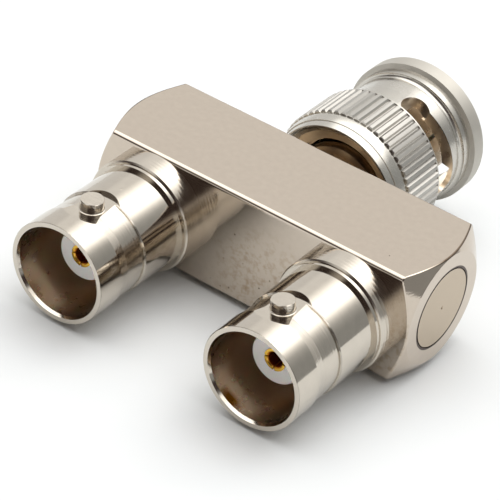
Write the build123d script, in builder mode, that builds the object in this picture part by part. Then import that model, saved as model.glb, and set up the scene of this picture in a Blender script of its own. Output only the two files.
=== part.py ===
"""Coaxial splitter adapter: a bayonet plug and two bayonet jacks on a square bar.

Millimetres. The Y axis is the plug's axis, and the plug points towards +Y. The two
jacks point towards -Y, the bar lies along X, and +Z is up. The origin is on the
plug's axis, on the flange face against which the rim of a mating jack closes.
"""

from build123d import *
import os
from math import cos, hypot, pi, radians, sin, tan

# Square bar
bar_side = 10.9
bar_length = 33.1
bar_edge_radius = 0.42
bar_end_edge_radius = 0.12  # where the flat sides meet the turned ends
bar_face_to_flange_seat = 6.35
end_cone_angle = 30.0  # the turned ends slope by this from the end faces
end_cone_inset = 0.12  # the end circle's radius is this much less than half the square
cross_bore_radius = 2.6
wire_hole_radius = 1.9
shell_socket_radius = 4.0
shell_socket_depth = 2.4

# Plugs that close the bar's cross bore
end_plug_radius = 3.8
end_plug_thickness = 1.2
end_plug_seam_width = 0.11
end_plug_seam_depth = 0.3
centre_mark_radius = 0.16
centre_mark_depth = 0.15

# Jack shells, with depths measured from the mouth
jack_pitch = 20.3
jack_reach = 13.45
tube_radius = 4.825
tube_edge_chamfer = 0.06
mouth_bore_radius = 4.06
mouth_chamfer_radius = 4.36
mouth_chamfer_depth = 0.55
mouth_floor_depth = 8.4
band_depth = 2.75
band_taper_length = 1.0
band_taper_radius = 4.7
band_end_depth = 6.1
band_end_radius = 4.64
step_length = 0.4
step_radius = 5.15
collar_length = 2.3
collar_radius = 5.35
collar_chamfer = 0.12

# Bayonet lugs on the jacks
lug_depth = 4.4
lug_radius = 1.05
lug_reach = 5.45
lug_chamfer = 0.05
lug_base_round = 0.12
lug_flat_height = 4.5
lug_flat_radius = 2.4
lug_angle = {"left": -1.0, "right": -6.5}  # from +Z towards +X

# Jack insulators and socket contacts
jack_insulator_radius = 3.4
nose_radius = 2.36
nose_chamfer = 0.1
nose_depth = 3.45
insulator_end_gap = 0.3
socket_radius = 1.05
socket_bore_radius = 0.7
socket_bore_depth = 5.2
socket_lead_in = 0.12
socket_stand_out = 0.1
socket_slot_width = 0.14
socket_slot_length = 3.6
socket_slot_count = 4
tail_radius = 0.5
tail_support_length = 1.0

# Inner conductor in the cross bore
bus_radius = 0.9
bus_insulator_clearance = 1.6  # left free on each side of a contact's tail

# Plug body
flange_radius = 5.6
flange_thickness = 1.1
neck_radius = 4.3
flange_chamfer = 0.1

# Plug's slotted outer contact, insulator and pin, and the gasket in its flange
sleeve_length = 9.3
sleeve_radius = 4.02
sleeve_wall = 0.72
sleeve_tip_chamfer = 0.2
sleeve_shank_wall = 0.4
sleeve_shank_length = 3.8
sleeve_slot_width = 0.4
sleeve_slot_length = 4.5
sleeve_slot_count = 4
sleeve_slot_angle = 57.0  # the first slot, from +Z towards +X
plug_insulator_recess = 0.5
plug_cup_radius = 2.45
plug_cup_depth = 5.2  # from the sleeve's tip to the cup's floor
pin_radius = 0.675
pin_barrel_radius = 1.1
pin_tip_recess = 0.5
pin_taper_length = 0.9
pin_tip_radius = 0.3
gasket_radius = 4.65
gasket_seat_depth = 0.45
gasket_stand_out = 0.15

# Coupling nut, with its front end and rear end measured from the flange seat
nut_front = 10.2
nut_rear = 4.3
nut_bore_radius = 4.9
nut_mouth_chamfer = 0.35
nut_running_clearance = 0.05
nut_flange_radius = 6.95
nut_flange_thickness = 1.6
nut_flange_chamfer = 0.15
nut_flange_slope = 0.15
nut_ring_radius = 6.5
nut_ring_length = 0.95
nut_ring_fillet = 0.4
nut_neck_radius = 6.1
nut_flare_length = 0.6
nut_flare_radius = 6.28
nut_rear_rim = 0.14
nut_lip_length = 0.7
nut_lip_radius = 6.6
nut_lip_step = 0.07
nut_bevel_length = 0.9
nut_bevel_radius = 6.85
nut_bevel_bulge = 0.03

# Fluted grip on the nut
grip_radius = 7.07
grip_rear = 2.45
grip_front = 2.35
grip_rim_length = 0.3
grip_rim_radius = 6.98
grip_rim_chamfer = 0.16
grip_end_chamfer = 0.1
flute_count = 60
flute_depth = 0.2
flute_width = 0.42
flute_floor_width = 0.08

# Bayonet slots in the nut
detent_angle = 22.0  # from +Z towards +X
detent_radius = 1.45
detent_station = 4.55
ramp_drop = 0.3
ramp_pitch = 4.5
ramp_turn = 80.0
slot_width = 2.35
entry_groove_radius = 5.6

# Spring washers, thrust washer and retaining ring behind the flange
washer_inner_radius = 4.5
washer_outer_radius = 5.5
wave_thickness = 0.2
wave_height = 0.65
wave_count = 3
wave_points = 8  # on each wave
thrust_thickness = 0.3
ring_inner_radius = 4.75
ring_groove_radius = 6.0
ring_width = 0.6
ring_clearance = 0.02
ring_gap = 1.6

# Stations along the plug's axis
bar_front_y = -bar_face_to_flange_seat
bar_centre_y = bar_front_y - bar_side / 2
bar_back_y = bar_front_y - bar_side
mouth_y = bar_back_y - jack_reach
plug_socket_floor_y = bar_front_y - shell_socket_depth
jack_socket_floor_y = bar_back_y + shell_socket_depth
jack_floor_y = mouth_y + mouth_floor_depth
nose_y = mouth_y + nose_depth
collar_y = bar_back_y - collar_length
step_y = collar_y - step_length
sleeve_inner_radius = sleeve_radius - sleeve_wall
sleeve_shank_radius = sleeve_inner_radius + sleeve_shank_wall
flange_back_y = -flange_thickness
washers_back_y = flange_back_y - 2 * wave_height
thrust_back_y = washers_back_y - thrust_thickness
ring_back_y = thrust_back_y - ring_width
nut_chamber_radius = flange_radius + nut_running_clearance

side_x = {"left": -jack_pitch / 2, "right": jack_pitch / 2}


def jack_plane(x):
    """The plane of a jack's turned outline: radius along X, station along Y."""
    return Plane(origin=(x, 0, 0), z_dir=(0, 0, 1))


def jack_axis(x):
    """The axis of the jack at this x."""
    return Axis((x, 0, 0), (0, 1, 0))


def finish(builder, name):
    """Labels a finished piece and writes it."""
    builder.part.label = name
    export_step(builder.part, f"parts/{name}.step")


os.makedirs("parts", exist_ok=True)


# Square bar with turned ends, a cross bore closed at both ends, and three sockets
cone_slope = tan(radians(end_cone_angle))
end_circle_radius = bar_side / 2 - end_cone_inset
corner_radius = hypot(bar_side / 2, bar_side / 2)
cone_length = (corner_radius - end_circle_radius) * cone_slope

with BuildPart() as bar_block:
    with Locations((0, bar_centre_y, 0)):
        Box(bar_length, bar_side, bar_side)
    fillet(bar_block.edges().filter_by(Axis.X), bar_edge_radius)
    with BuildSketch(Plane(origin=(0, bar_centre_y, 0))):
        with BuildLine():
            Polyline(
                (-bar_length / 2, 0),
                (-bar_length / 2, end_circle_radius),
                (-bar_length / 2 + cone_length, corner_radius),
                (bar_length / 2 - cone_length, corner_radius),
                (bar_length / 2, end_circle_radius),
                (bar_length / 2, 0),
                close=True,
            )
        make_face()
    revolve(axis=Axis((0, bar_centre_y, 0), (1, 0, 0)), mode=Mode.INTERSECT)
    flat_sides = bar_block.faces().filter_by(GeomType.PLANE).filter_by(Axis.X, reverse=True)
    end_edges = [edge for side in flat_sides for edge in side.edges().filter_by(GeomType.HYPERBOLA)]
    fillet(end_edges, bar_end_edge_radius)
    for direction in (-1, 1):
        with Locations(Plane(origin=(direction * bar_length / 2, bar_centre_y, 0), z_dir=(direction, 0, 0))):
            CounterBoreHole(cross_bore_radius, end_plug_radius, end_plug_thickness, bar_length / 2)
    for x in side_x.values():
        with Locations(Plane(origin=(x, bar_back_y, 0), z_dir=(0, -1, 0))):
            CounterBoreHole(wire_hole_radius, shell_socket_radius, shell_socket_depth, bar_side / 2)
    with Locations(Plane(origin=(0, bar_front_y, 0), z_dir=(0, 1, 0))):
        CounterBoreHole(wire_hole_radius, shell_socket_radius, shell_socket_depth, bar_side / 2)
finish(bar_block, "bar_block")


# Discs pressed into the bar's ends, with the turning centre's mark
for side, direction in (("left", -1), ("right", 1)):
    outer_face = Plane(origin=(direction * bar_length / 2, bar_centre_y, 0), z_dir=(direction, 0, 0))
    with BuildPart() as end_plug:
        with BuildSketch(outer_face):
            Circle(end_plug_radius - end_plug_seam_width)
        extrude(amount=-end_plug_thickness)
        with BuildSketch(outer_face.offset(-end_plug_seam_depth)):
            Circle(end_plug_radius)
        extrude(amount=end_plug_seam_depth - end_plug_thickness)
        with Locations(outer_face):
            CounterSinkHole(
                centre_mark_radius / 2,
                centre_mark_radius,
                centre_mark_depth,
            )
    finish(end_plug, f"end_plug_{side}")


# Jack shells: a turned tube with a shoulder on the bar, a spigot in it and two lugs
tube_inner = [
    (jack_insulator_radius, jack_socket_floor_y),
    (jack_insulator_radius, jack_floor_y),
    (mouth_bore_radius, jack_floor_y),
    (mouth_bore_radius, mouth_y + mouth_chamfer_depth),
    (mouth_chamfer_radius, mouth_y),
]
tube_outer = [
    (tube_radius - tube_edge_chamfer, mouth_y),
    (tube_radius, mouth_y + tube_edge_chamfer),
    (tube_radius, mouth_y + band_depth),
    (band_taper_radius, mouth_y + band_depth + band_taper_length),
    (band_end_radius, mouth_y + band_end_depth),
    (tube_radius, mouth_y + band_end_depth),
    (tube_radius, step_y),
    (step_radius, step_y),
    (step_radius, collar_y),
    (collar_radius - collar_chamfer, collar_y),
    (collar_radius, collar_y + collar_chamfer),
    (collar_radius, bar_back_y),
    (shell_socket_radius, bar_back_y),
    (shell_socket_radius, jack_socket_floor_y),
]
for side, x in side_x.items():
    lug_y = mouth_y + lug_depth
    with BuildPart() as jack_shell:
        with BuildSketch(jack_plane(x)):
            with BuildLine():
                Polyline(*tube_inner, *tube_outer, close=True)
            make_face()
        revolve(axis=jack_axis(x))
        for turn in (lug_angle[side], lug_angle[side] + 180):
            out = Vector(0, 0, 1).rotate(Axis.Y, turn)
            lug_flat = Plane(
                origin=Vector(x, lug_y, 0) + out * lug_flat_height,
                x_dir=(0, 1, 0),
                z_dir=out,
            )
            with BuildSketch(lug_flat):
                Circle(lug_flat_radius)
            extrude(amount=tube_radius - lug_flat_height, mode=Mode.SUBTRACT)
            with BuildSketch(lug_flat):
                Circle(lug_radius)
            extrude(amount=lug_reach - lug_flat_height)
            lug_axis = Axis((x, 0, 0), out)
            fillet(jack_shell.edges(Select.LAST).sort_by(lug_axis)[0], lug_base_round)
            lug_top = jack_shell.faces().sort_by(lug_axis)[-1]
            chamfer(lug_top.edges(), lug_chamfer)
    finish(jack_shell, f"jack_shell_{side}")


# Jack insulators: a wide body behind the mouth's floor and a slim nose in the mouth
insulator_end_y = jack_socket_floor_y - insulator_end_gap
socket_end_y = insulator_end_y - tail_support_length
jack_insulator_outline = [
    (socket_radius, nose_y),
    (nose_radius - nose_chamfer, nose_y),
    (nose_radius, nose_y + nose_chamfer),
    (nose_radius, jack_floor_y),
    (jack_insulator_radius, jack_floor_y),
    (jack_insulator_radius, insulator_end_y),
    (tail_radius, insulator_end_y),
    (tail_radius, socket_end_y),
    (socket_radius, socket_end_y),
]
for side, x in side_x.items():
    with BuildPart() as jack_insulator:
        with BuildSketch(jack_plane(x)):
            with BuildLine():
                Polyline(*jack_insulator_outline, close=True)
            make_face()
        revolve(axis=jack_axis(x))
    finish(jack_insulator, f"jack_insulator_{side}")


# Socket contacts: a slotted barrel, and a tail that reaches through the inner conductor
socket_y = nose_y - socket_stand_out
socket_outline = [
    (0, socket_y + socket_bore_depth),
    (socket_bore_radius, socket_y + socket_bore_depth),
    (socket_bore_radius, socket_y + socket_lead_in),
    (socket_bore_radius + socket_lead_in, socket_y),
    (socket_radius, socket_y),
    (socket_radius, socket_end_y),
    (tail_radius, socket_end_y),
    (tail_radius, bar_centre_y + bus_radius),
    (0, bar_centre_y + bus_radius),
]
for side, x in side_x.items():
    with BuildPart() as socket_contact:
        with BuildSketch(jack_plane(x)):
            with BuildLine():
                Polyline(*socket_outline, close=True)
            make_face()
        revolve(axis=jack_axis(x))
        with BuildSketch(Plane(origin=(x, socket_y, 0), x_dir=(1, 0, 0), z_dir=(0, -1, 0))):
            with PolarLocations(0, socket_slot_count // 2, angular_range=180):
                Rectangle(2 * socket_radius + socket_slot_width, socket_slot_width)
        extrude(amount=-socket_slot_length, mode=Mode.SUBTRACT)
    finish(socket_contact, f"socket_contact_{side}")


# Inner conductor: a rod along the bar with a cross hole for each contact's tail
bus_half_length = jack_pitch / 2 + bus_radius
with BuildPart() as bus_bar:
    with BuildSketch(Plane(origin=(-bus_half_length, bar_centre_y, 0), z_dir=(1, 0, 0))):
        Circle(bus_radius)
    extrude(amount=2 * bus_half_length)
    with BuildSketch(Plane(origin=(0, bar_centre_y - bus_radius, 0), x_dir=(1, 0, 0), z_dir=(0, 1, 0))):
        with Locations((-jack_pitch / 2, 0), (0, 0), (jack_pitch / 2, 0)):
            Circle(tail_radius)
    extrude(amount=2 * bus_radius, mode=Mode.SUBTRACT)
finish(bus_bar, "bus_bar")


# Insulating tubes that hold the inner conductor between the tails
bus_insulator_length = jack_pitch / 2 - 2 * bus_insulator_clearance
for side, direction in (("left", -1), ("right", 1)):
    near_end = Plane(
        origin=(direction * bus_insulator_clearance, bar_centre_y, 0),
        z_dir=(direction, 0, 0),
    )
    with BuildPart() as bus_insulator:
        with BuildSketch(near_end):
            Circle(cross_bore_radius)
            Circle(bus_radius, mode=Mode.SUBTRACT)
        extrude(amount=bus_insulator_length)
    finish(bus_insulator, f"bus_insulator_{side}")


# Plug body: a spigot in the bar, a neck and the flange that the nut turns on
with BuildPart() as plug_body:
    with BuildSketch(Plane.XY):
        with BuildLine():
            Polyline(
                (sleeve_inner_radius, plug_socket_floor_y),
                (shell_socket_radius, plug_socket_floor_y),
                (shell_socket_radius, bar_front_y),
                (neck_radius, bar_front_y),
                (neck_radius, flange_back_y),
                (flange_radius, flange_back_y),
                (flange_radius, -flange_chamfer),
                (flange_radius - flange_chamfer, 0),
                (gasket_radius, 0),
                (gasket_radius, -gasket_seat_depth),
                (sleeve_shank_radius, -gasket_seat_depth),
                (sleeve_shank_radius, -sleeve_shank_length),
                (sleeve_inner_radius, -sleeve_shank_length),
                close=True,
            )
        make_face()
    revolve(axis=Axis.Y)
finish(plug_body, "plug_body")


# Outer contact: a sprung sleeve, slotted from its tip, with a shank in the plug body
with BuildPart() as outer_contact:
    with BuildSketch(Plane.XY):
        with BuildLine():
            Polyline(
                (sleeve_inner_radius, -sleeve_shank_length),
                (sleeve_shank_radius, -sleeve_shank_length),
                (sleeve_shank_radius, 0),
                (sleeve_radius, 0),
                (sleeve_radius, sleeve_length - sleeve_tip_chamfer),
                (sleeve_radius - sleeve_tip_chamfer, sleeve_length),
                (sleeve_inner_radius, sleeve_length),
                close=True,
            )
        make_face()
    revolve(axis=Axis.Y)
    with BuildSketch(Plane(origin=(0, sleeve_length, 0), x_dir=(1, 0, 0), z_dir=(0, 1, 0))):
        with PolarLocations(0, sleeve_slot_count // 2, sleeve_slot_angle - 90, 180):
            Rectangle(2 * sleeve_radius + sleeve_slot_width, sleeve_slot_width)
    extrude(amount=-sleeve_slot_length, mode=Mode.SUBTRACT)
finish(outer_contact, "outer_contact")


# Plug insulator: a long bush with a cup that takes the nose of a mating jack
plug_insulator_end_y = plug_socket_floor_y + insulator_end_gap
plug_insulator_tip_y = sleeve_length - plug_insulator_recess
plug_cup_floor_y = sleeve_length - plug_cup_depth
barrel_end_y = plug_insulator_end_y + tail_support_length
with BuildPart() as plug_insulator:
    with BuildSketch(Plane.XY):
        with BuildLine():
            Polyline(
                (tail_radius, plug_insulator_end_y),
                (sleeve_inner_radius, plug_insulator_end_y),
                (sleeve_inner_radius, plug_insulator_tip_y),
                (plug_cup_radius, plug_insulator_tip_y),
                (plug_cup_radius, plug_cup_floor_y),
                (pin_barrel_radius, plug_cup_floor_y),
                (pin_barrel_radius, barrel_end_y),
                (tail_radius, barrel_end_y),
                close=True,
            )
        make_face()
    revolve(axis=Axis.Y)
finish(plug_insulator, "plug_insulator")


# Pin contact: a tapered pin, a barrel in the insulator and a tail in the inner conductor
pin_tip_y = sleeve_length - pin_tip_recess
with BuildPart() as pin_contact:
    with BuildSketch(Plane.XY):
        with BuildLine():
            Polyline(
                (0, bar_centre_y - bus_radius),
                (tail_radius, bar_centre_y - bus_radius),
                (tail_radius, barrel_end_y),
                (pin_barrel_radius, barrel_end_y),
                (pin_barrel_radius, plug_cup_floor_y),
                (pin_radius, plug_cup_floor_y),
                (pin_radius, pin_tip_y - pin_taper_length),
                (pin_tip_radius, pin_tip_y),
                (0, pin_tip_y),
                close=True,
            )
        make_face()
    revolve(axis=Axis.Y)
finish(pin_contact, "pin_contact")


# Gasket: a soft ring sunk in the flange and held down by the outer contact's shoulder
with BuildPart() as face_gasket:
    with BuildSketch(Plane.XY):
        with BuildLine():
            Polyline(
                (sleeve_shank_radius, -gasket_seat_depth),
                (gasket_radius, -gasket_seat_depth),
                (gasket_radius, gasket_stand_out),
                (sleeve_radius, gasket_stand_out),
                (sleeve_radius, 0),
                (sleeve_shank_radius, 0),
                close=True,
            )
        make_face()
    revolve(axis=Axis.Y)
finish(face_gasket, "face_gasket")


# Coupling nut: turned blank, fluted grip, and two bayonet slots half a turn apart
ramp_start_y = detent_station - ramp_drop
ramp_height = ramp_pitch * ramp_turn / 360
ramp_end_y = ramp_start_y + ramp_height
ramp_radius = (nut_bore_radius + nut_neck_radius) / 2
cut_depth = 2 * (nut_neck_radius - nut_bore_radius)
nut_rear_radius = nut_flare_radius + nut_rear_rim
nut_flange_rear_y = nut_front - nut_flange_thickness - nut_flange_slope
nut_ring_rear_y = nut_flange_rear_y - nut_ring_length
lip_y = -nut_rear + nut_lip_length
bevel_y = lip_y + nut_bevel_length
bevel_middle = (
    (nut_lip_radius + nut_lip_step + nut_bevel_radius) / 2 + nut_bevel_bulge,
    (lip_y + bevel_y) / 2,
)

with BuildPart() as coupling_nut:
    with BuildSketch(Plane.XY):
        with BuildLine():
            Polyline(
                (nut_flare_radius, -nut_rear),
                (nut_rear_radius, -nut_rear),
                (nut_lip_radius, lip_y),
                (nut_lip_radius + nut_lip_step, lip_y),
            )
            ThreePointArc(
                (nut_lip_radius + nut_lip_step, lip_y),
                bevel_middle,
                (nut_bevel_radius, bevel_y),
            )
            Polyline(
                (nut_bevel_radius, bevel_y),
                (nut_bevel_radius, -grip_rear),
                (grip_radius - grip_end_chamfer, -grip_rear),
                (grip_radius, -grip_rear + grip_end_chamfer),
                (grip_radius, grip_front - grip_end_chamfer),
                (grip_rim_radius, grip_front),
                (grip_rim_radius, grip_front + grip_rim_length - grip_rim_chamfer),
                (grip_rim_radius - grip_rim_chamfer, grip_front + grip_rim_length),
                (nut_neck_radius, grip_front + grip_rim_length),
                (nut_neck_radius, nut_ring_rear_y - nut_ring_fillet),
            )
            TangentArc(
                (nut_neck_radius, nut_ring_rear_y - nut_ring_fillet),
                (nut_ring_radius, nut_ring_rear_y),
                tangent=(0, 1),
            )
            Polyline(
                (nut_ring_radius, nut_ring_rear_y),
                (nut_ring_radius, nut_flange_rear_y),
                (nut_flange_radius, nut_flange_rear_y + nut_flange_slope),
                (nut_flange_radius, nut_front - nut_flange_chamfer),
                (nut_flange_radius - nut_flange_chamfer, nut_front),
                (nut_bore_radius + nut_mouth_chamfer, nut_front),
                (nut_bore_radius, nut_front - nut_mouth_chamfer),
                (nut_bore_radius, 0),
                (nut_chamber_radius, 0),
                (nut_chamber_radius, thrust_back_y + ring_clearance),
                (ring_groove_radius, thrust_back_y + ring_clearance),
                (ring_groove_radius, ring_back_y - ring_clearance),
                (nut_chamber_radius, ring_back_y - ring_clearance),
                (nut_chamber_radius, -nut_rear + nut_flare_length),
                (nut_flare_radius, -nut_rear),
            )
        make_face()
    revolve(axis=Axis.Y)
    # Straight flutes all round the grip, open at its rear end
    with BuildSketch(Plane(origin=(0, grip_front, 0), x_dir=(1, 0, 0), z_dir=(0, 1, 0))):
        with PolarLocations(grip_radius - flute_depth, flute_count):
            Polygon(
                (0, -flute_floor_width / 2),
                (2 * flute_depth, flute_floor_width / 2 - flute_width),
                (2 * flute_depth, flute_width - flute_floor_width / 2),
                (0, flute_floor_width / 2),
                align=None,
            )
    extrude(amount=-grip_front - grip_rear, mode=Mode.SUBTRACT)
    # Each bayonet slot: detent hole, helical ramp, and an inner groove from the front
    for slot_angle in (detent_angle, detent_angle + 180):
        ramp = Helix(
            ramp_pitch,
            ramp_height,
            ramp_radius,
            (0, ramp_start_y, 0),
            (0, 1, 0),
            mode=Mode.PRIVATE,
        )
        ramp = ramp.rotate(Axis.Y, slot_angle)
        out = Vector(0, 0, 1).rotate(Axis.Y, slot_angle)
        with BuildSketch(Plane(origin=ramp @ 0, x_dir=out, z_dir=ramp % 0)):
            Rectangle(cut_depth, slot_width)
        sweep(path=ramp, is_frenet=True, mode=Mode.SUBTRACT)
        detent = Plane(origin=(0, detent_station, 0), x_dir=(0, 1, 0), z_dir=out)
        with BuildSketch(detent.offset(nut_bore_radius - nut_running_clearance)):
            Circle(detent_radius)
        extrude(amount=cut_depth, mode=Mode.SUBTRACT)
        out = Vector(0, 0, 1).rotate(Axis.Y, slot_angle + ramp_turn)
        ramp_end = Plane(origin=(0, ramp_end_y, 0), x_dir=(0, 1, 0), z_dir=out)
        with BuildSketch(ramp_end.offset(nut_bore_radius - nut_running_clearance)):
            Circle(slot_width / 2)
        extrude(amount=cut_depth, mode=Mode.SUBTRACT)
        with BuildSketch(ramp_end):
            with Locations(((nut_front - ramp_end_y) / 2, 0)):
                Rectangle(nut_front - ramp_end_y, slot_width)
        extrude(amount=entry_groove_radius, mode=Mode.SUBTRACT)
finish(coupling_nut, "coupling_nut")


# Two spring washers behind the flange, each a flat ring bent into even waves
wave_radius = (washer_inner_radius + washer_outer_radius) / 2
wave_swing = (wave_height - wave_thickness) / 2
point_count = wave_points * wave_count


def wave_line(radius, middle_y, swing):
    """A closed wave round the plug's axis: it starts over the axis, at a crest or a trough."""
    turns = [2 * pi * index / point_count for index in range(point_count)]
    return Spline(
        *[
            (radius * sin(turn), middle_y + swing * cos(wave_count * turn), radius * cos(turn))
            for turn in turns
        ],
        periodic=True,
    )


for side, order, swing in (("front", 0.5, wave_swing), ("rear", 1.5, -wave_swing)):
    washer_y = flange_back_y - order * wave_height
    wave = wave_line(wave_radius, washer_y, swing)
    guide = wave_line(wave_radius + washer_outer_radius - washer_inner_radius, washer_y, swing)
    with BuildPart() as wave_washer:
        with BuildSketch(Plane(origin=wave @ 0, x_dir=(0, 0, 1), z_dir=(1, 0, 0))):
            Rectangle(washer_outer_radius - washer_inner_radius, wave_thickness)
        sweep(path=wave, binormal=guide)
    finish(wave_washer, f"wave_washer_{side}")


# Flat washer between the spring washers and the retaining ring
with BuildPart() as thrust_washer:
    with BuildSketch(Plane(origin=(0, thrust_back_y, 0), x_dir=(1, 0, 0), z_dir=(0, 1, 0))):
        Circle(washer_outer_radius)
        Circle(washer_inner_radius, mode=Mode.SUBTRACT)
    extrude(amount=thrust_thickness)
finish(thrust_washer, "thrust_washer")


# Retaining ring: a split ring that snaps into the nut's groove
with BuildPart() as retaining_ring:
    with BuildSketch(Plane(origin=(0, ring_back_y, 0), x_dir=(1, 0, 0), z_dir=(0, 1, 0))):
        Circle(ring_groove_radius)
        Circle(ring_inner_radius, mode=Mode.SUBTRACT)
        with Locations((0, ring_groove_radius)):
            Rectangle(ring_gap, ring_groove_radius, mode=Mode.SUBTRACT)
    extrude(amount=ring_width)
finish(retaining_ring, "retaining_ring")
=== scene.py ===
"""Looks of the coaxial splitter adapter: a bayonet plug and two bayonet jacks on a square bar.

Metres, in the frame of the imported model: +Y out of the plug, X along the bar, +Z up.
"""

from math import cos, radians, sin

import bpy
from mathutils import Matrix, Vector


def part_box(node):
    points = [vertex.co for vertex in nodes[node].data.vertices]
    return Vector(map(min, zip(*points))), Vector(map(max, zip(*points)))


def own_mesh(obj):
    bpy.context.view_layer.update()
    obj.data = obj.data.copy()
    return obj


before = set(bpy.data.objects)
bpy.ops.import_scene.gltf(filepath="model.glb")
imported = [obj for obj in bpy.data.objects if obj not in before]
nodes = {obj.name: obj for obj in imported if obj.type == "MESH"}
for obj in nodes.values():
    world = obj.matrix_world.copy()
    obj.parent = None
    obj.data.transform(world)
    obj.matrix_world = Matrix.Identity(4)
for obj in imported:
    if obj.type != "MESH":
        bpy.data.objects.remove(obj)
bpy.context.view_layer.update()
bpy.ops.object.select_all(action="DESELECT")
scene = bpy.context.scene
scene.view_settings.view_transform = "Standard"
mm = 0.001


# Camera
# It looks down on the jacks' side from the right, and is turned a little about its own
# line of sight, as the photograph is. The aim is a point near the right jack's mouth.
camera_azimuth = radians(31.72)
camera_elevation = radians(36.44)
camera_roll = radians(7.24)
camera_aim = Vector((18.43, -46.69, 26.14)) * mm
camera_distance = 183.5 * mm
camera_focal_length = 2642.1  # in pixels of the photograph
photograph_width = 500  # in pixels

camera_back = Vector((
    sin(camera_azimuth) * cos(camera_elevation),
    -cos(camera_azimuth) * cos(camera_elevation),
    sin(camera_elevation),
))
level_right = Vector((cos(camera_azimuth), sin(camera_azimuth), 0))
level_up = camera_back.cross(level_right)
camera_right = cos(camera_roll) * level_right + sin(camera_roll) * level_up
camera_up = camera_back.cross(camera_right)

camera_data = bpy.data.cameras.new("camera")
camera_data.sensor_width = 36
camera_data.lens = camera_focal_length / photograph_width * camera_data.sensor_width
camera_data.clip_start = 10 * mm
camera_data.clip_end = 10000 * mm
camera = bpy.data.objects.new("camera", camera_data)
camera.matrix_world = Matrix.Translation(camera_aim + camera_back * camera_distance) @ Matrix(
    (camera_right, camera_up, camera_back)
).transposed().to_4x4()
scene.collection.objects.link(camera)
scene.camera = camera


# Floor
# A sheet of white card. The adapter leans on its nut's grip and its two lower lugs, so
# the card is tilted to touch those three. It is lit to white and keeps the soft shadow,
# and its right edge is near enough to show dark in the bar's turned end.
lug_station = -26.3 * mm
grip_station = 2.25 * mm
card_reach = 1200 * mm
card_right_edge = 110 * mm
card_fibre = 4 * mm


def linear(hex_colour):
    """Linear RGBA of an sRGB hex colour."""
    channels = []
    for start in (0, 2, 4):
        value = int(hex_colour[start:start + 2], 16) / 255
        channels.append(value / 12.92 if value <= 0.04045 else ((value + 0.055) / 1.055) ** 2.4)
    return (*channels, 1)


def add(tree, kind, inputs=None, **settings):
    """Adds a node with its settings. Each input is a value, or a socket that is linked."""
    node = tree.nodes.new(kind)
    for name, value in settings.items():
        setattr(node, name, value)
    for socket, value in (inputs or {}).items():
        if isinstance(value, bpy.types.NodeSocket):
            tree.links.new(value, node.inputs[socket])
        else:
            node.inputs[socket].default_value = value
    return node


def new_finish(name):
    """A material, its empty node tree, and the place on the piece."""
    finish = bpy.data.materials.new(name)
    finish.use_nodes = True
    finish.node_tree.nodes.clear()
    return finish, finish.node_tree, add(finish.node_tree, "ShaderNodeTexCoord").outputs["Object"]


def two_tones(tree, place, cloud_size, first, second):
    """A colour that drifts between two tones in soft clouds, and the clouds."""
    noise = {"Vector": place, "Scale": 1 / cloud_size, "Detail": 2}
    cloud = add(tree, "ShaderNodeTexNoise", noise).outputs[0]
    tones = {0: cloud, 6: linear(first), 7: linear(second)}
    return add(tree, "ShaderNodeMix", tones, data_type="RGBA").outputs[2], cloud


lug_height = min(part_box(f"jack_shell_{side}")[0].z for side in ("left", "right"))
grip_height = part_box("coupling_nut")[0].z
card_tilt = (grip_height - lug_height) / (grip_station - lug_station)
bpy.ops.mesh.primitive_plane_add(size=2 * card_reach)
floor = bpy.context.object
floor.name = "floor"
for corner in floor.data.vertices:
    corner.co.x = min(corner.co.x, card_right_edge)
    corner.co.z = lug_height + (corner.co.y - lug_station) * card_tilt
white_card, tree, place = new_finish("white_card")
paper, _ = two_tones(tree, place, cloud_size=card_fibre, first="E3E6E8", second="E6E8E9")
card = add(tree, "ShaderNodeBsdfDiffuse", {"Color": paper})
add(tree, "ShaderNodeOutputMaterial", {0: card.outputs[0]})
floor.data.materials.append(white_card)
bpy.ops.object.select_all(action="DESELECT")


# Light
# All light comes from the room. The big soft window of a light tent stands behind the plug,
# a little to the right, and its picture is the bright stripe along each tube. The walls are
# pale, but the right one is grey, the front and the camera's place dark, the ceiling bright.
window_azimuth = radians(13)  # from +Y towards +X
window_elevation = radians(45)
window_level = 2.75
glow_level = 0.18  # beside the window, on its left
ceiling_level = 1.6
room_pale = "EDECEA"
room_grey = "A1A2A1"
room_dark = "473D3B"

window_ahead = Vector((
    sin(window_azimuth) * cos(window_elevation),
    cos(window_azimuth) * cos(window_elevation),
    sin(window_elevation),
))
window_right = Vector((cos(window_azimuth), -sin(window_azimuth), 0))
window_up = window_right.cross(window_ahead)
room_axes = {"ahead": window_ahead, "right": window_right, "up": window_up, "camera": camera_back,
             "x": (1, 0, 0), "y": (0, 1, 0), "z": (0, 0, 1)}

# A limit is the share of a direction that points along an axis. The window's are slopes: at
# 0.5 a direction goes half a metre sideways for each metre ahead.
regions = {
    "window": (("ahead", 0.1, 0.3), ("window_right", -0.62, 0.1), ("window_right", 0.5, -0.1),
               ("window_up", -0.5, 0.0), ("window_up", 0.5, 0.3)),
    "glow": (("ahead", 0.1, 0.3), ("window_right", -1.2, -0.9), ("z", 0.2, 0.45)),
    "ceiling": (("z", 0.62, 0.76), ("y", 0.62, 0.45), ("y", -0.75, -0.2)),
    "grey": (("x", 0.33, 0.68), ("z", 0.8, 0.6), ("y", -0.6, -0.1)),
    "dark": (("z", 0.75, 0.5), ("z", 0.16, 0.3), ("y", 0.06, -0.08)),
    "camera": (("camera", 0.8, 0.92),),
}


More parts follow.
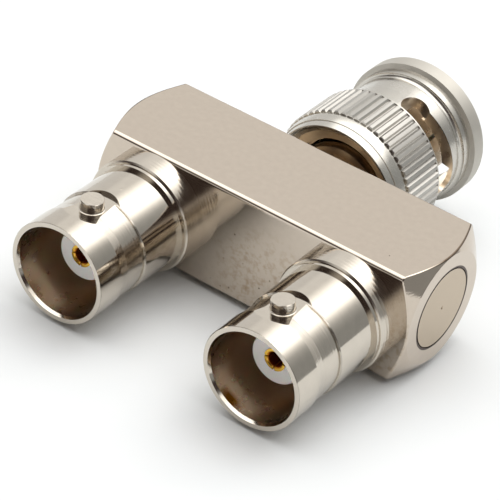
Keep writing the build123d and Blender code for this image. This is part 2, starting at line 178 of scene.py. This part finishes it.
def mask(tree, steps, others=(), **settings):
    """The product of masks and steps. A step goes from nought at one limit to one at the other."""
    shares = list(others)
    for value, start, stop in steps:
        limits = {"Value": value, "From Min": start, "From Max": stop}
        shares.append(add(tree, "ShaderNodeMapRange", limits, **settings).outputs[0])
    product = shares[0]
    for share in shares[1:]:
        product = add(tree, "ShaderNodeMath", {0: product, 1: share}, operation="MULTIPLY").outputs[0]
    return product


room = bpy.data.worlds.new("room")
room.use_nodes = True
tree = room.node_tree
tree.nodes.clear()
direction = add(tree, "ShaderNodeTexCoord").outputs["Generated"]
along = {}
for name, axis in room_axes.items():
    pair = {0: direction, 1: tuple(axis)}
    along[name] = add(tree, "ShaderNodeVectorMath", pair, operation="DOT_PRODUCT").outputs["Value"]
for name in ("right", "up"):
    pair = {0: along[name], 1: along["ahead"]}
    along[f"window_{name}"] = add(tree, "ShaderNodeMath", pair, operation="DIVIDE").outputs[0]
room_share = {}
for name, limits in regions.items():
    steps = [(along[axis], start, stop) for axis, start, stop in limits]
    room_share[name] = mask(tree, steps, interpolation_type="SMOOTHSTEP")
pair = {0: room_share["dark"], 1: room_share["camera"]}
dark = add(tree, "ShaderNodeMath", pair, operation="MAXIMUM").outputs[0]
walls = linear(room_pale)
for share, colour in ((room_share["grey"], room_grey), (dark, room_dark)):
    tones = {0: share, 6: walls, 7: linear(colour)}
    walls = add(tree, "ShaderNodeMix", tones, data_type="RGBA").outputs[2]
level = 1
for name, more in (("window", window_level), ("glow", glow_level), ("ceiling", ceiling_level)):
    lift = {0: room_share[name], 1: more, 2: level}
    level = add(tree, "ShaderNodeMath", lift, operation="MULTIPLY_ADD").outputs[0]
sky = add(tree, "ShaderNodeBackground", {"Color": walls, "Strength": level})
add(tree, "ShaderNodeOutputWorld", {0: sky.outputs[0]})
scene.world = room


# Square bar
# Drawn brass bar, milled flat, turned to a cone at each end, bored, and nickel plated. The
# plate is smooth on the flats and mottled on the cones, with dark pin holes and warm blotches
# low on the jacks' face, partly stains and partly a painted reflection of the shaded floor.
# A painted dark reflection lines the cones' edges on the flats, and painted shade fills the end bores'
# seams.
bar_low, bar_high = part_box("bar_block")
bar_length = bar_high.x - bar_low.x
bar_half_side = (bar_high.z - bar_low.z) / 2
bar_centre_y = (bar_low.y + bar_high.y) / 2
cone_slope = 0.577  # tan 30
cone_inset = 0.12 * mm
cone_edge = bar_length / 2 + (bar_half_side - cone_inset) * cone_slope
# Painted shade in the end plug's bore, in the seam: its radius, and how far it widens on one diagonal
end_bore_radius = 3.91 * mm  # where the dark of the end plug's bore stops
end_bore_shade_widening = 0.06 * mm
fade = 0.02 * mm  # how softly a tint ends
flat_dent_depth = 0.0003 * mm
cone_dent_depth = 0.004 * mm
tone_drift = 0.02
gloss_drift = 0.15


def nickel_plate(tree, place, tint, roughness, cloud_size):
    """Nickel plate: tone and gloss drift in soft clouds, as the bath leaves them."""
    noise = {"Vector": place, "Scale": 1 / cloud_size, "Detail": 3}
    cloud = {"Value": add(tree, "ShaderNodeTexNoise", noise).outputs[0], "From Min": 0.3, "From Max": 0.7}
    drift = {"To Min": 1 - tone_drift, "To Max": 1 + tone_drift}
    tone = add(tree, "ShaderNodeMapRange", {**cloud, **drift}).outputs[0]
    scaled = {0: linear(tint)[:3], "Scale": tone}
    shade = add(tree, "ShaderNodeVectorMath", scaled, operation="SCALE").outputs[0]
    drift = {"To Min": (1 - gloss_drift) * roughness, "To Max": (1 + gloss_drift) * roughness}
    return shade, add(tree, "ShaderNodeMapRange", {**cloud, **drift}).outputs[0]


def grain(tree, pattern, size, depth):
    """A bump of small dents of this size and depth."""
    dents = add(tree, "ShaderNodeTexNoise", {"Vector": pattern, "Scale": 1 / size, "Detail": 2}).outputs[0]
    return add(tree, "ShaderNodeBump", {"Height": dents, "Strength": 1, "Distance": depth}).outputs[0]


def specks(tree, place, cell_size, speck_radius, softness, bare_share):
    """A mask of round specks, one to a cell, where a share of the cells stays bare."""
    cells = add(tree, "ShaderNodeTexVoronoi", {"Vector": place, "Scale": 1 / cell_size}).outputs
    chance = add(tree, "ShaderNodeSeparateColor", {0: cells["Color"]}).outputs[0]
    chosen = add(tree, "ShaderNodeMath", {0: chance, 1: bare_share}, operation="GREATER_THAN").outputs[0]
    rim = speck_radius / cell_size
    return mask(tree, [(cells["Distance"], (1 + softness) * rim, (1 - softness) * rim)], [chosen])


def metal_surface(tree, shade, roughness, normal):
    """Ends a metal finish."""
    looks = {"Metallic": 1, "Base Color": shade, "Roughness": roughness, "Normal": normal}
    surface = add(tree, "ShaderNodeBsdfPrincipled", looks)
    add(tree, "ShaderNodeOutputMaterial", {0: surface.outputs[0]})


def radius_about(tree, first, second):
    """Distance from an axis, from the two offsets at right angles to it."""
    squares = add(tree, "ShaderNodeMath", {0: first, 1: first}, operation="MULTIPLY").outputs[0]
    squares = add(tree, "ShaderNodeMath", {0: second, 1: second, 2: squares}, operation="MULTIPLY_ADD")
    return add(tree, "ShaderNodeMath", {0: squares.outputs[0]}, operation="SQRT").outputs[0]


def about_bar(tree, parts):
    """How far a point is in front of the cross bore's axis, and how far from that axis."""
    ahead = add(tree, "ShaderNodeMath", {0: parts["Y"], 1: -bar_centre_y}, operation="ADD").outputs[0]
    return ahead, radius_about(tree, ahead, parts["Z"])


def dress(names, finish):
    """Gives nodes their finish."""
    for name in names:
        nodes[name].data.materials.clear()
        nodes[name].data.materials.append(finish)


bar_nickel, tree, place = new_finish("bar_nickel")
shade, gloss = nickel_plate(tree, place, tint="C9BDAF", roughness=0.06, cloud_size=0.6 * mm)
parts = add(tree, "ShaderNodeSeparateXYZ", {0: place}).outputs
# Warm blotches on the jacks' face, more of them lower down and towards its right: partly stains,
# partly a painted reflection of the shaded floor under the jacks
jack_face = (parts["Y"], bar_low.y + 0.15 * mm, bar_low.y + 0.05 * mm)
blotch = add(tree, "ShaderNodeTexNoise", {"Vector": place, "Scale": 1 / (0.5 * mm), "Detail": 4}).outputs[0]
stains_and_painted_reflection = mask(tree, [jack_face, (blotch, 0.45, 0.85), (parts["Z"], 4 * mm, 0), (parts["X"], -5 * mm, 0)])
shade = add(tree, "ShaderNodeMix", {0: stains_and_painted_reflection, 6: shade, 7: linear("A48E72")}, data_type="RGBA").outputs[2]
# Pin holes in the plate, 0.1 and 0.2 mm across, with more of them low on the jacks' face
low_on_face = [jack_face, (parts["Z"], 3 * mm, 1 * mm), (parts["X"], 6 * mm, 4 * mm),
               (parts["X"], -4 * mm, -1 * mm)]
for cell_size, hole_radius, bare_share, here in ((2.6 * mm, 0.055 * mm, 0.72, []),
                                                 (1.0 * mm, 0.09 * mm, 0.45, low_on_face)):
    holes = specks(tree, place, cell_size, hole_radius, softness=0.3, bare_share=bare_share)
    holes = mask(tree, here, [holes])
    tones = {0: holes, 6: shade, 7: linear("4A3F35")}
    shade = add(tree, "ShaderNodeMix", tones, data_type="RGBA").outputs[2]
# Painted reflection: a dark line along the cone's edge on the top and bottom faces, where the edge's round
# mirrors the dark room, fading towards the jacks
ahead, from_axis = about_bar(tree, parts)
endwards = add(tree, "ShaderNodeMath", {0: parts["X"]}, operation="ABSOLUTE").outputs[0]
cone = {0: from_axis, 1: cone_slope, 2: endwards}
to_cone = add(tree, "ShaderNodeMath", cone, operation="MULTIPLY_ADD").outputs[0]
height = add(tree, "ShaderNodeMath", {0: parts["Z"]}, operation="ABSOLUTE").outputs[0]
edge_painted_reflection = mask(tree, [(to_cone, cone_edge - 0.13 * mm, cone_edge - 0.06 * mm),
                   (height, bar_half_side - 0.13 * mm, bar_half_side - 0.07 * mm),
                   (ahead, -3.2 * mm, -0.8 * mm)])
shade = add(tree, "ShaderNodeMix", {0: edge_painted_reflection, 6: shade, 7: linear("5F5144")}, data_type="RGBA").outputs[2]
# Painted shade down the wall of the end plug's bore, widened on one diagonal where the seam's far wall is
# in shade
diagonal = add(tree, "ShaderNodeMath", {0: ahead, 1: parts["Z"]}, operation="MULTIPLY").outputs[0]
widening = {"Value": diagonal, "From Min": 0.2 * end_bore_radius ** 2,
            "From Max": 0.5 * end_bore_radius ** 2, "To Max": end_bore_shade_widening}
shade_width = add(tree, "ShaderNodeMapRange", widening).outputs[0]
to_bore = add(tree, "ShaderNodeMath", {0: from_axis, 1: shade_width}, operation="SUBTRACT").outputs[0]
painted_bore_shade = mask(tree, [(to_bore, end_bore_radius + fade, end_bore_radius)])
shade = add(tree, "ShaderNodeMix", {0: painted_bore_shade, 6: shade, 7: linear("3A281C")}, data_type="RGBA").outputs[2]
deepening = {"Value": to_cone, "From Min": cone_edge - 2 * fade, "From Max": cone_edge - fade,
             "To Min": flat_dent_depth, "To Max": cone_dent_depth}
dent_depth = add(tree, "ShaderNodeMapRange", deepening).outputs[0]
metal_surface(tree, shade, gloss, grain(tree, place, size=0.16 * mm, depth=dent_depth))
dress(["bar_block"], bar_nickel)


# End plugs
# Brass discs pressed into the bar's cross bore and plated with it, a little duller and
# warmer than the bar. Painted shade darkens the seam's groove round the rim.
seam_radius = 3.71 * mm

plug_nickel, tree, place = new_finish("end_plug_nickel")
shade, gloss = nickel_plate(tree, place, tint="B7A792", roughness=0.18, cloud_size=0.7 * mm)
parts = add(tree, "ShaderNodeSeparateXYZ", {0: place}).outputs
_, from_axis = about_bar(tree, parts)
# Painted shade round the plug's rim, in the seam's groove
painted_seam_shade = mask(tree, [(from_axis, seam_radius - 2 * fade, seam_radius)])
shade = add(tree, "ShaderNodeMix", {0: painted_seam_shade, 6: shade, 7: linear("55463A")}, data_type="RGBA").outputs[2]
metal_surface(tree, shade, gloss, grain(tree, place, size=0.2 * mm, depth=0.0006 * mm))
dress(["end_plug_left", "end_plug_right"], plug_nickel)


# Jack shells
# Turned from brass rod, with two pressed lugs, nickel plated bright outside. The waisted
# band and the collar keep the tool's rings, and in the bore the plate is thin and brown.
jack_axis_x = 10.15 * mm
mouth_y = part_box("jack_shell_right")[0].y
bore_radius = 4.21 * mm
lead_in_radius = 4.35 * mm
lead_in_depth = 0.6 * mm
mouth_edge_radius = 4.765 * mm
mouth_edge_depth = 0.065 * mm
pitted_radius = 4.5 * mm  # no pits inside this
tube_radius = 4.825 * mm
band_front = mouth_y + 2.75 * mm
band_back = mouth_y + 6.1 * mm
band_back_radius = 4.64 * mm
collar_foot_radius = 5.2 * mm
turned_cloud = 0.8 * mm  # in the plate of the turned pieces
rust_place = Vector((8.12, -30.1, -3.52)) * mm
rust_depth = 1.3 * mm
ring_pitch = 0.25 * mm
ring_depth = 0.018 * mm
pit_depth = 0.03 * mm


def about_jack(tree, parts):
    """How far a point is outwards of the nearer jack's axis, and how far from that axis."""
    sideways = add(tree, "ShaderNodeMath", {0: parts["X"]}, operation="ABSOLUTE").outputs[0]
    sideways = add(tree, "ShaderNodeMath", {0: sideways, 1: -jack_axis_x}, operation="ADD").outputs[0]
    return sideways, radius_about(tree, sideways, parts["Z"])


shell_nickel, tree, place = new_finish("shell_nickel")
shade, gloss = nickel_plate(tree, place, tint="CCC4B8", roughness=0.1, cloud_size=turned_cloud)
parts = add(tree, "ShaderNodeSeparateXYZ", {0: place}).outputs
sideways, radius = about_jack(tree, parts)
bore = mask(tree, [(radius, bore_radius, bore_radius - fade)])
collar = mask(tree, [(radius, collar_foot_radius, collar_foot_radius + 0.05 * mm)])
band = mask(tree, [(parts["Y"], band_front, band_front + 0.4 * mm),
                   (parts["Y"], band_back, band_back - 0.1 * mm)])
shade = add(tree, "ShaderNodeMix", {0: bore, 6: shade, 7: linear("D2BA9E")}, data_type="RGBA").outputs[2]
# The step behind the band and the mouth's outer edge are soft: they face as the tube does
side = add(tree, "ShaderNodeMath", {0: parts["X"]}, operation="SIGN").outputs[0]
side = add(tree, "ShaderNodeMath", {0: side, 1: sideways}, operation="MULTIPLY").outputs[0]
outward = add(tree, "ShaderNodeCombineXYZ", {"X": side, "Z": parts["Z"]}).outputs[0]
outward = add(tree, "ShaderNodeVectorMath", {0: outward}, operation="NORMALIZE").outputs[0]
step_wall = mask(tree, [(parts["Y"], band_back - 0.06 * mm, band_back - 0.03 * mm),
                        (parts["Y"], band_back + 0.06 * mm, band_back + 0.03 * mm),
                        (radius, band_back_radius, band_back_radius + fade),
                        (radius, tube_radius, tube_radius - fade)])
outer = add(tree, "ShaderNodeMath", {0: radius, 1: mouth_edge_radius}, operation="GREATER_THAN").outputs[0]
mouth_edge = mouth_y + mouth_edge_depth
edge = mask(tree, [(parts["Y"], mouth_edge + fade / 4, mouth_edge)], [outer])
soft = add(tree, "ShaderNodeMath", {0: step_wall, 1: edge}, operation="MAXIMUM").outputs[0]
facing = add(tree, "ShaderNodeNewGeometry").outputs["Normal"]
facing = add(tree, "ShaderNodeMix", {0: soft, 4: facing, 5: outward}, data_type="VECTOR").outputs[1]
# The mouth's lead-in faces inwards more than its cone does, most of all near the bore
inward = add(tree, "ShaderNodeVectorMath", {0: outward, "Scale": -1}, operation="SCALE").outputs[0]
lead_in = [add(tree, "ShaderNodeMapRange", {"Value": bore, "To Min": 0.12}).outputs[0]]
for value, limit in ((radius, lead_in_radius), (parts["Y"], mouth_y + lead_in_depth)):
    lead_in.append(add(tree, "ShaderNodeMath", {0: value, 1: limit}, operation="LESS_THAN").outputs[0])
turning = {0: mask(tree, [], lead_in), 4: facing, 5: inward}
facing = add(tree, "ShaderNodeMix", turning, data_type="VECTOR").outputs[1]
# A rusty spot in the right jack's mouth, with a ragged edge
away = add(tree, "ShaderNodeVectorMath", {0: place, 1: rust_place}, operation="DISTANCE").outputs["Value"]
ragged = add(tree, "ShaderNodeTexNoise", {"Vector": place, "Scale": 1 / (0.5 * mm), "Detail": 3}).outputs[0]
away = add(tree, "ShaderNodeMath", {0: ragged, 1: 0.8 * mm, 2: away}, operation="MULTIPLY_ADD").outputs[0]
rust = mask(tree, [(away, 1.8 * mm, 0.8 * mm),
                   (parts["Y"], mouth_y + rust_depth, mouth_y + rust_depth - 0.5 * mm)], [bore])
shade = add(tree, "ShaderNodeMix", {0: rust, 6: shade, 7: linear("94661C")}, data_type="RGBA").outputs[2]
for region, more in ((bore, 0.18), (collar, 0.1), (band, 0.05)):
    gloss = add(tree, "ShaderNodeMath", {0: region, 1: more, 2: gloss}, operation="MULTIPLY_ADD").outputs[0]
# The tool's rings are finer than this pitch: they are drawn coarser to show at all
turned = add(tree, "ShaderNodeCombineXYZ", {"X": radius, "Y": parts["Y"]}).outputs[0]
rings = add(tree, "ShaderNodeTexNoise", {"Vector": turned, "Scale": 1 / ring_pitch, "Detail": 2}).outputs[0]
coarse = add(tree, "ShaderNodeMath", {0: band, 1: collar}, operation="MAXIMUM").outputs[0]
strength = add(tree, "ShaderNodeMapRange", {"Value": coarse, "To Min": 0.12}).outputs[0]
tooled = {"Height": rings, "Strength": strength, "Distance": ring_depth, "Normal": facing}
normal = add(tree, "ShaderNodeBump", tooled).outputs[0]
# A few pits in the plate outside, 0.12 mm across, each with its own glint
outer = add(tree, "ShaderNodeMath", {0: radius, 1: pitted_radius}, operation="GREATER_THAN").outputs[0]
pits = specks(tree, place, cell_size=1.2 * mm, speck_radius=0.06 * mm, softness=0.4, bare_share=0.6)
pits = mask(tree, [], [pits, outer])
normal = add(tree, "ShaderNodeBump", {"Height": pits, "Distance": pit_depth, "Normal": normal}).outputs[0]
metal_surface(tree, shade, gloss, normal)
dress(["jack_shell_left", "jack_shell_right"], shell_nickel)


# Jack insulators
# Turned from white fluoropolymer rod: waxy, and a little clear at its edges. The same
# white bush fills the plug, and two tubes of it hold the inner conductor in the bar.
fluoropolymer, tree, place = new_finish("turned_fluoropolymer")
white, cloud = two_tones(tree, place, cloud_size=0.9 * mm, first="F1F2F3", second="F8F8F8")
gloss = add(tree, "ShaderNodeMapRange", {"Value": cloud, "To Min": 0.4, "To Max": 0.55}).outputs[0]
surface = add(tree, "ShaderNodeBsdfPrincipled", {
    "Base Color": white, "Roughness": gloss, "IOR": 1.38, "Subsurface Weight": 0.3,
    "Subsurface Scale": 0.3 * mm, "Normal": grain(tree, place, size=0.25 * mm, depth=0.002 * mm)})
add(tree, "ShaderNodeOutputMaterial", {0: surface.outputs[0]})
dress(["jack_insulator_left", "jack_insulator_right", "plug_insulator", "bus_insulator_left",
       "bus_insulator_right"], fluoropolymer)


# Socket contacts
# Turned from spring brass, slotted, and gold plated. The plate is bright on the rim and
# thin and red-brown down the hole. The plug's pin has the same plate.
contact_hole_radius = 0.7 * mm

contact_gold, tree, place = new_finish("contact_gold")
parts = add(tree, "ShaderNodeSeparateXYZ", {0: place}).outputs
_, radius = about_jack(tree, parts)
hole = mask(tree, [(radius, contact_hole_radius + 0.1 * mm, contact_hole_radius)])
gold, _ = two_tones(tree, place, cloud_size=0.3 * mm, first="E3B13C", second="F0C65A")
shade = add(tree, "ShaderNodeMix", {0: hole, 6: gold, 7: linear("B8622A")}, data_type="RGBA").outputs[2]
gloss = add(tree, "ShaderNodeMapRange", {"Value": hole, "To Min": 0.18, "To Max": 0.5}).outputs[0]
metal_surface(tree, shade, gloss, grain(tree, place, size=0.15 * mm, depth=0.001 * mm))
dress(["socket_contact_left", "socket_contact_right", "pin_contact"], contact_gold)


# Inner conductor
# A brass rod through the bar's cross bore, turned and left bare, with faint tool marks. It
# joins the three contacts, and the end plugs hide it.
bare_brass, tree, place = new_finish("bare_brass")
brass, cloud = two_tones(tree, place, cloud_size=0.5 * mm, first="C9A45C", second="DAB870")
gloss = add(tree, "ShaderNodeMapRange", {"Value": cloud, "To Min": 0.22, "To Max": 0.34}).outputs[0]
metal_surface(tree, brass, gloss, grain(tree, place, size=0.2 * mm, depth=0.002 * mm))
dress(["bus_bar"], bare_brass)


# Plug body and outer contact
# Turned from brass rod and plated like the jacks. The neck shows behind the nut, and the
# slotted sleeve is seen through the nut's slot, brown where its plate is thin.
for name, piece, tint, roughness in (("neck_nickel", "plug_body", "C6BAAB", 0.2),
                                     ("sleeve_nickel", "outer_contact", "CDBCA6", 0.3)):
    turned_nickel, tree, place = new_finish(name)
    shade, gloss = nickel_plate(tree, place, tint, roughness, turned_cloud)
    parts = add(tree, "ShaderNodeSeparateXYZ", {0: place}).outputs
    radius = radius_about(tree, parts["X"], parts["Z"])
    turned = add(tree, "ShaderNodeCombineXYZ", {"X": radius, "Y": parts["Y"]}).outputs[0]
    metal_surface(tree, shade, gloss, grain(tree, turned, size=0.2 * mm, depth=0.002 * mm))
    dress([piece], turned_nickel)


# Gasket
# A red silicone ring, moulded soft and matt. It sits in the flange's groove, where a mating
# jack's rim closes on it.
silicone, tree, place = new_finish("moulded_silicone")
red, _ = two_tones(tree, place, cloud_size=0.4 * mm, first="9C3527", second="AE4130")
surface = add(tree, "ShaderNodeBsdfPrincipled", {
    "Base Color": red, "Roughness": 0.5, "IOR": 1.42,
    "Normal": grain(tree, place, size=0.2 * mm, depth=0.003 * mm)})
add(tree, "ShaderNodeOutputMaterial", {0: surface.outputs[0]})
dress(["face_gasket"], silicone)


# Coupling nut
# Turned from brass rod, fluted and slotted, plated in a cooler nickel. The turned parts
# are satin, the front flange and the flutes are duller, and inside it is a little brown,
# with painted light that makes the inside lighter than the outside.
grip_rear_y = -2.45 * mm
grip_front_y = 2.35 * mm
flute_foot_radius = 6.8 * mm
flange_rear_y = 8.2 * mm
nut_inside_radius = 6.1 * mm

nut_nickel, tree, place = new_finish("nut_nickel")
shade, gloss = nickel_plate(tree, place, tint="C9C5BD", roughness=0.24, cloud_size=turned_cloud)
parts = add(tree, "ShaderNodeSeparateXYZ", {0: place}).outputs
radius = radius_about(tree, parts["X"], parts["Z"])
inside = mask(tree, [(radius, nut_inside_radius - fade, nut_inside_radius - 0.1 * mm)])
grip = mask(tree, [(parts["Y"], grip_rear_y, grip_rear_y + 0.1 * mm),
                   (parts["Y"], grip_front_y, grip_front_y - 0.1 * mm),
                   (radius, flute_foot_radius - 0.05 * mm, flute_foot_radius)])
flange = mask(tree, [(parts["Y"], flange_rear_y, flange_rear_y + 0.3 * mm)])
# The inside is painted lighter than the outside: painted light in the nut's chamber
for region, colour, more in ((inside, "E8DCCB", 0.06), (grip, "B5B2AC", 0.16), (flange, "C2BEB6", 0.3)):
    tones = {0: region, 6: shade, 7: linear(colour)}
    shade = add(tree, "ShaderNodeMix", tones, data_type="RGBA").outputs[2]
    gloss = add(tree, "ShaderNodeMath", {0: region, 1: more, 2: gloss}, operation="MULTIPLY_ADD").outputs[0]
turned = add(tree, "ShaderNodeCombineXYZ", {"X": radius, "Y": parts["Y"]}).outputs[0]
metal_surface(tree, shade, gloss, grain(tree, turned, size=0.25 * mm, depth=0.0004 * mm))
dress(["coupling_nut"], nut_nickel)


spring_bronze, tree, place = new_finish("spring_bronze")
bronze, cloud = two_tones(tree, place, cloud_size=0.4 * mm, first="CBB393", second="DAC6A8")
gloss = add(tree, "ShaderNodeMapRange", {"Value": cloud, "To Min": 0.25, "To Max": 0.38}).outputs[0]
metal_surface(tree, bronze, gloss, grain(tree, place, size=0.2 * mm, depth=0.003 * mm))
dress(["wave_washer_front", "wave_washer_rear", "thrust_washer", "retaining_ring"], spring_bronze)
for name in ("wave_washer_front", "wave_washer_rear"):
    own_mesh(nodes[name])
